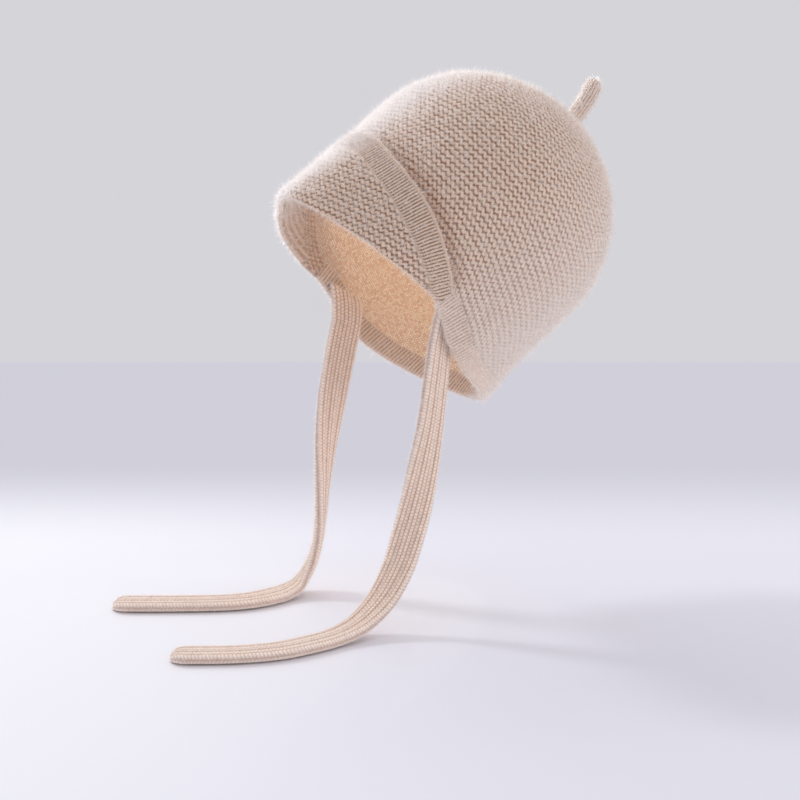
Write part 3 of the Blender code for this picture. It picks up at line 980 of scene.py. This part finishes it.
def newNode(tree, kind, **settings):
    node = tree.nodes.new(kind)
    for name, value in settings.items():
        setattr(node, name, value)
    return node


def calc(tree, operation, *values):
    # one sum in the shader: sockets are linked and numbers are typed in
    node = newNode(tree, "ShaderNodeMath", operation=operation)
    for socket, value in zip(node.inputs, values):
        if isinstance(value, (int, float)):
            socket.default_value = value
        else:
            tree.links.new(value, socket)
    return node.outputs[0]


def setSockets(node, numbers):
    for name, number in numbers.items():
        node.inputs[name].default_value = number


def markNode(tree, name):
    # how much of a mark each place of a piece has, nought where it has none
    return newNode(tree, "ShaderNodeAttribute", attribute_name=name).outputs["Fac"]


def mixNode(tree, blend, share, first, second):
    # mixes two colours: sockets are linked and screen colours are typed in
    mix = newNode(tree, "ShaderNodeMix", data_type='RGBA', blend_type=blend)
    tree.links.new(share, mix.inputs[0])
    for socket, value in zip([socket for socket in mix.inputs if socket.type == 'RGBA'], (first, second)):
        if isinstance(value, tuple):
            socket.default_value = fromScreen(*value)
        else:
            tree.links.new(value, socket)
    return [socket for socket in mix.outputs if socket.type == 'RGBA'][0]


def rangeNode(tree, value, ends=(0, 1), to=(0, 1), kind='LINEAR'):
    # carries a value over from one range to another
    node = newNode(tree, "ShaderNodeMapRange", interpolation_type=kind)
    setSockets(node, dict(zip(("From Min", "From Max", "To Min", "To Max"), (*ends, *to))))
    tree.links.new(value, node.inputs["Value"])
    return node.outputs[0]


def domeOf(tree, far):
    # 1 in the middle of a strand or a dot and 0 at its edge, from the square of how far out a place is
    return calc(tree, "MAXIMUM", calc(tree, "SUBTRACT", 1.0, far), 0.0)


def seedNodes(tree, u, v):
    # the same swinging strand as seedHeight
    do = partial(calc, tree)
    turn = do("MULTIPLY", u, 2 * pi)
    wave = do("MULTIPLY_ADD", markNode(tree, "straight"), -knit["wave"], knit["wave"])
    swing = do("MULTIPLY", do("SINE", turn), wave)
    steepest = do("MULTIPLY", wave, 2 * pi * knit["row"] / knit["stitch"])
    slope = do("MULTIPLY", do("COSINE", turn), steepest)
    steep = do("SQRT", do("MULTIPLY_ADD", slope, slope, 1.0))
    place = do("FRACT", do("SUBTRACT", v, swing))
    near = do("ABSOLUTE", do("SUBTRACT", place, 0.5))
    near = do("DIVIDE", near, do("MULTIPLY", steep, knit["yarn"]))
    strand = do("SQRT", domeOf(tree, do("MULTIPLY", near, near)))
    dip = do("MULTIPLY_ADD", do("COSINE", turn), knit["dip"], 1 - knit["dip"])
    return do("MULTIPLY", strand, dip)


def stitchNodes(tree, u, v, depth):
    # columns of stitches, each stitch as bright as the depth of its wave lets it be
    do = partial(calc, tree)
    side = do("MULTIPLY_ADD", do("FRACT", u), 2.0, -1.0)
    column = do("SQRT", domeOf(tree, do("MULTIPLY", side, side)))
    place = do("MULTIPLY_ADD", do("ABSOLUTE", side), knit["ribBow"], v)
    wave = do("COSINE", do("MULTIPLY", place, 2 * pi))
    return do("MULTIPLY", column, do("MULTIPLY_ADD", wave, depth, 1 - depth))


def ribNodes(tree, u, v):
    # the same columns of stitches as ribHeight
    return stitchNodes(tree, u, v, knit["ribWave"])


def strapNodes(tree, u, v):
    # each column is set off by half a stitch from the next
    setOff = calc(tree, "MULTIPLY_ADD", calc(tree, "FLOOR", u), 0.5, v)
    return stitchNodes(tree, u, setOff, knit["strapWave"])


def dotNodes(tree, u, v):
    # small dots of uneven brightness, each row set off by half a dot
    do = partial(calc, tree)
    row = do("FLOOR", v)
    place = do("MULTIPLY_ADD", row, 0.5, u)
    column = do("FLOOR", place)
    across = do("MULTIPLY_ADD", do("SUBTRACT", place, column), 2.0, -1.0)
    down = do("MULTIPLY_ADD", do("SUBTRACT", v, row), 2.0, -1.0)
    far = do("MULTIPLY_ADD", across, across, do("MULTIPLY", down, down))
    cell = newNode(tree, "ShaderNodeCombineXYZ")
    tree.links.new(column, cell.inputs[0])
    tree.links.new(row, cell.inputs[1])
    chance = newNode(tree, "ShaderNodeTexWhiteNoise", noise_dimensions='2D')
    tree.links.new(cell.outputs[0], chance.inputs["Vector"])
    bright = rangeNode(tree, chance.outputs["Value"], to=knit["dotBright"])
    return do("MULTIPLY", domeOf(tree, far), bright)


def bandNodes(tree, u, v):
    # ribs outside, the seed knit of the peak inside
    inner = markNode(tree, "inner")
    ribs = calc(tree, "MULTIPLY", ribNodes(tree, u, v), calc(tree, "SUBTRACT", 1.0, inner))
    return calc(tree, "MULTIPLY_ADD", seedNodes(tree, u, v), inner, ribs)


def noiseNode(tree, place, scale, detail, roughness):
    noise = newNode(tree, "ShaderNodeTexNoise")
    setSockets(noise, {"Scale": scale, "Detail": detail, "Roughness": roughness})
    tree.links.new(place, noise.inputs["Vector"])
    return noise.outputs[0]


# what all the wool shares
wool = {
    "plainHeight": 0.75,    # how high the knit counts where it is smoothed
    "cloud": 420,           # how fine the patches of lighter and darker wool are
    "cloudTones": (0.66, 1.34),
    "fibreTones": (0.84, 1.16),
    "fibreBump": 0.35,
    "veil": (244, 239, 237),
    "veilInHollow": 0.40,   # how much of the veil covers a hollow
    "veilOnStrand": 0.45,   # and how much more a strand
    "rough": (0.82, 0.98),
    "sheenRough": 0.4,
    "specular": 0.15,
}
# the shade tint is painted shade: it darkens a piece where it is marked with painted shade
looks = {
    # painted shade: each hollow colour is darker than its strand, for the shade that falls in the knit's
    # hollows
    "seed": {"pattern": seedNodes, "strand": (232, 205, 183), "hollow": (156, 117, 93),
             "ends": (0.0, 0.9), "shadeTint": (228, 210, 198),
             "fibre": 5, "bump": 0.6, "depth": 0.0006, "sheen": 1.0},
    # painted light: the inside's colours are lighter and warmer than the outside's, for the light that comes
    # through the knit
    "inside": {"pattern": dotNodes, "strand": (255, 250, 236), "hollow": (224, 194, 170),
               "ends": (0.05, 0.85), "shadeTint": (230, 230, 234),
               "fibre": 3, "bump": 0.5, "depth": 0.0003, "sheen": 0.3},
    "band": {"pattern": bandNodes, "strand": (234, 209, 189), "hollow": (128, 88, 66),
             "ends": (0.35, 0.95), "fibre": 4, "bump": 0.6, "depth": 0.0005, "sheen": 1.0},
    "rib": {"pattern": ribNodes, "strand": (236, 214, 198), "hollow": (146, 110, 88),
            "ends": (0.15, 0.9), "fibre": 4, "bump": 0.6, "depth": 0.0005, "sheen": 1.0},
    "strap": {"pattern": strapNodes, "strand": (255, 235, 220), "hollow": (196, 158, 134),
              "ends": (0.10, 1.0), "fibre": 4, "bump": 0.7, "depth": 0.0004, "sheen": 1.0},
}


def newPaint(name):
    # a new material with its tree of nodes and its shader
    material = bpy.data.materials.new(name)
    material.use_nodes = True
    return material, material.node_tree, material.node_tree.nodes["Principled BSDF"]


def woolMaterial(kind):
    look = looks[kind]
    material, tree, shader = newPaint(kind + "_wool")
    do = partial(calc, tree)
    knitPlace = newNode(tree, "ShaderNodeUVMap", uv_map="knit").outputs[0]
    parts = newNode(tree, "ShaderNodeSeparateXYZ")
    tree.links.new(knitPlace, parts.inputs[0])
    height = look["pattern"](tree, parts.outputs[0], parts.outputs[1])
    plain = markNode(tree, "plain")
    ribbed = do("MULTIPLY", height, do("SUBTRACT", 1.0, plain))
    height = do("MULTIPLY_ADD", plain, wool["plainHeight"], ribbed)
    # the colour: from the hollows' painted shade to the strand, uneven in patches and along the fibres,
    # under a pale veil that is mostly painted light, where the lamps catch the fuzz, and partly the fuzz's
    # own paleness
    fibre = noiseNode(tree, knitPlace, look["fibre"], 3, 0.5)
    cloud = noiseNode(tree, newNode(tree, "ShaderNodeTexCoord").outputs["Object"], wool["cloud"], 5, 0.75)
    rise = rangeNode(tree, height, look["ends"], kind='SMOOTHSTEP')
    colour = mixNode(tree, 'MIX', rise, look["hollow"], look["strand"])
    tone = newNode(tree, "ShaderNodeVectorMath", operation='SCALE')
    tree.links.new(colour, tone.inputs[0])
    tones = do("MULTIPLY", rangeNode(tree, cloud, to=wool["cloudTones"]),
               rangeNode(tree, fibre, to=wool["fibreTones"]))
    tree.links.new(tones, tone.inputs["Scale"])
    colour = tone.outputs[0]
    if "shadeTint" in look:
        colour = mixNode(tree, 'MULTIPLY', markNode(tree, "deep"), colour, look["shadeTint"])
    cover = do("MULTIPLY_ADD", rise, wool["veilOnStrand"], wool["veilInHollow"])
    colour = mixNode(tree, 'MIX', do("MULTIPLY", markNode(tree, "pale"), cover), colour, wool["veil"])
    tree.links.new(colour, shader.inputs["Base Color"])
    tree.links.new(rangeNode(tree, fibre, to=wool["rough"]), shader.inputs["Roughness"])
    bump = newNode(tree, "ShaderNodeBump")
    setSockets(bump, {"Strength": look["bump"], "Distance": look["depth"]})
    tree.links.new(do("MULTIPLY_ADD", fibre, wool["fibreBump"], height), bump.inputs["Height"])
    tree.links.new(bump.outputs[0], shader.inputs["Normal"])
    setSockets(shader, {"Sheen Weight": look["sheen"], "Sheen Roughness": wool["sheenRough"],
                        "Specular IOR Level": wool["specular"]})
    return material


def wear(piece, material):
    piece.data.materials.clear()
    piece.data.materials.append(material)


# each piece: how it is made, its wool, its slot and the node that it stands for
plan = {
    "crown": (makeCrown, "seed", "seed_knit", "crown"),
    "crown_inside": (makeCrownInside, "inside", "seed_knit", "crown"),
    "peak": (makePeak, "seed", "seed_knit", "peak"),
    "peak_band": (makeBand, "band", "rib_knit", "peak_band"),
    "hem_band": (makeHem, "rib", "rib_knit", "hem_band"),
    "tie_left": (makeTie, "strap", "strap_knit", "tie_left"),
    "tie_right": (makeTie, "strap", "strap_knit", "tie_right"),
    "stem": (makeStem, "rib", "seed_knit", "stem"),
}
wools = {kind: woolMaterial(kind) for kind in looks}
pieces = {}
for name, (make, kind, slotName, node) in plan.items():
    piece = make(name)
    wear(piece, wools[kind])
    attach(piece, "root")
    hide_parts(node)
    pieces[name] = piece
    print(name, "knitted")

napWool, _, napShader = newPaint("nap_wool")
setSockets(napShader, {"Base Color": fromScreen(*nap["colour"]), "Roughness": nap["rough"],
                       "Sheen Weight": nap["sheen"]})
naps = []
for name, hair in hairKinds.items():
    hairs = makeNap(name, hair)
    wear(hairs, napWool)
    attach(hairs, "root")
    naps.append(hairs)
print("nap laid")

# the camera at the photo's place
shot = {
    "azimuth": 54.6,
    "elevation": 11.7,
    "lens": 90,
    "sensor": 36,
    "distance": 1.160,      # along the view to the middle of the dome
    "across": 75.4,         # where that middle shows, in the photo's pixels from its centre
    "above": 188.7,
    "focal": 2000,          # the lens in the same pixels
}
azimuth, elevation = radians(shot["azimuth"]), radians(shot["elevation"])
viewRight = Vector((cos(azimuth), sin(azimuth), 0))
viewAhead = Vector((-sin(azimuth) * cos(elevation), cos(azimuth) * cos(elevation), -sin(elevation)))
viewUp = Vector((-sin(azimuth) * sin(elevation), cos(azimuth) * sin(elevation), cos(elevation)))
domeMiddle = Vector(tipped(np.array([0.0, 0.0, 0.0])))
aside = (viewRight * shot["across"] + viewUp * shot["above"]) / shot["focal"]
cameraPlace = domeMiddle - (aside + viewAhead) * shot["distance"]
bpy.ops.object.camera_add(location=cameraPlace)
camera = bpy.context.object
camera.name = "camera"
camera.rotation_euler = viewAhead.to_track_quat('-Z', 'Y').to_euler()
camera.data.lens = shot["lens"]
camera.data.sensor_width = shot["sensor"]
camera.data.clip_start = 0.05
bpy.context.scene.camera = camera

# the stage: a pale table, a lilac strip behind it and a grey wall, all painted on one floor
stage = {
    "floorSize": 400,
    "floorGap": 0.0004,
    "tableLeft": (251, 251, 255),
    "tableRight": (241, 241, 248),
    "strip": (208, 207, 218),
    "wall": (213, 212, 217),
    "tableSides": (-0.25, 0.10),    # metres to the right of the camera
    "tableEnds": (1.23, 1.475),     # metres ahead of it, on the floor
    "stripEnds": (1.87, 1.89),
    "air": 1.05,            # how bright the air all round is
}
clearSelection()
bpy.ops.mesh.primitive_plane_add(size=stage["floorSize"], location=(0, 0, cadBox[0].z - stage["floorGap"]))
floor = bpy.context.object
floor.name = "floor"
floorPaint, floorTree, floorShader = newPaint("floor_paint")
floorSpot = newNode(floorTree, "ShaderNodeTexCoord")
levelAhead = Vector((viewAhead.x, viewAhead.y, 0)).normalized()


def fromCamera(way):
    # how far along a level way each place lies from below the camera
    reach = newNode(floorTree, "ShaderNodeVectorMath", operation='DOT_PRODUCT')
    reach.inputs[1].default_value = way
    floorTree.links.new(floorSpot.outputs["Object"], reach.inputs[0])
    return calc(floorTree, "SUBTRACT", reach.outputs["Value"], way.dot(cameraPlace))


def softRise(way, ends):
    return rangeNode(floorTree, fromCamera(way), ends, kind='SMOOTHSTEP')


pastTable = softRise(levelAhead, stage["tableEnds"])
pastStrip = softRise(levelAhead, stage["stripEnds"])
toRight = softRise(viewRight, stage["tableSides"])
black = (0, 0, 0)
# painted light: the table is painted lighter on the left, where the key lamp's light falls, and darker to
# the right
table = mixNode(floorTree, 'MIX', toRight, stage["tableLeft"], stage["tableRight"])
table = mixNode(floorTree, 'MIX', pastTable, table, black)
backdrop = mixNode(floorTree, 'MIX', pastStrip, stage["strip"], stage["wall"])
backdrop = mixNode(floorTree, 'MIX', pastTable, black, backdrop)
floorTree.links.new(table, floorShader.inputs["Base Color"])
floorTree.links.new(backdrop, floorShader.inputs["Emission Color"])
setSockets(floorShader, {"Emission Strength": 1, "Roughness": 0.9, "Specular IOR Level": 0})
wear(floor, floorPaint)

world = bpy.data.worlds.new("studio")
bpy.context.scene.world = world
world.use_nodes = True
setSockets(world.node_tree.nodes["Background"], {"Color": fromScreen(*stage["wall"]),
                                                 "Strength": stage["air"]})

# the lamps: place (right, up and ahead of the dome as the camera sees it), power, size and colour
lamps = {
    "key": ((-0.70, 1.30, 1.35), 9, 1.6, (255, 254, 252)),
    "side": ((-1.34, 1.40, 0.79), 9, 0.3, (246, 250, 255)),
    "rim": ((-1.35, 0.75, 1.0), 10, 0.5, (228, 239, 255)),
    "rim_on_nap": ((-1.35, 0.75, 1.0), 48, 0.5, (228, 239, 255)),
    "fill": ((1.5, -0.1, -0.5), 8, 0.8, (255, 250, 246)),
}
# the light that comes through the knit, from a small lamp inside the dome
glowLook = {
    "power": 0.055,
    "radius": 0.02,
    "colour": (255, 246, 234),
}


def lightUp(name, power, colour):
    # names the new lamp, sets its light and hides it from the camera
    lamp = bpy.context.object
    lamp.name = name
    lamp.data.energy = power
    lamp.data.color = fromScreen(*colour)[:3]
    lamp.visible_camera = False
    return lamp


allPieces = [*pieces.values(), *naps]
straps = [pieces["tie_left"], pieces["tie_right"], naps[2]]
litAlone = {    # the pieces that a lamp lights, where it leaves the others out
    "rim": [piece for piece in allPieces if piece not in straps],
    "rim_on_nap": naps,
    "fill": allPieces,
}
for name, (place, power, size, colour) in lamps.items():
    spot = domeMiddle + viewRight * place[0] + Vector((0, 0, place[1])) + levelAhead * place[2]
    clearSelection()
    bpy.ops.object.light_add(type='AREA', location=spot)
    lamp = lightUp(name, power, colour)
    lamp.data.size = size
    lamp.rotation_euler = (domeMiddle - spot).to_track_quat('-Z', 'Y').to_euler()
    if name in litAlone:
        group = bpy.data.collections.new("lit_by_" + name)
        for piece in litAlone[name]:
            group.objects.link(piece)
        lamp.light_linking.receiver_collection = group
clearSelection()
bpy.ops.object.light_add(type='POINT', radius=glowLook["radius"], location=domeMiddle)
lightUp("glow", glowLook["power"], glowLook["colour"])
bpy.context.scene.view_settings.view_transform = 'Standard'
print("camera, stage and lamps placed")
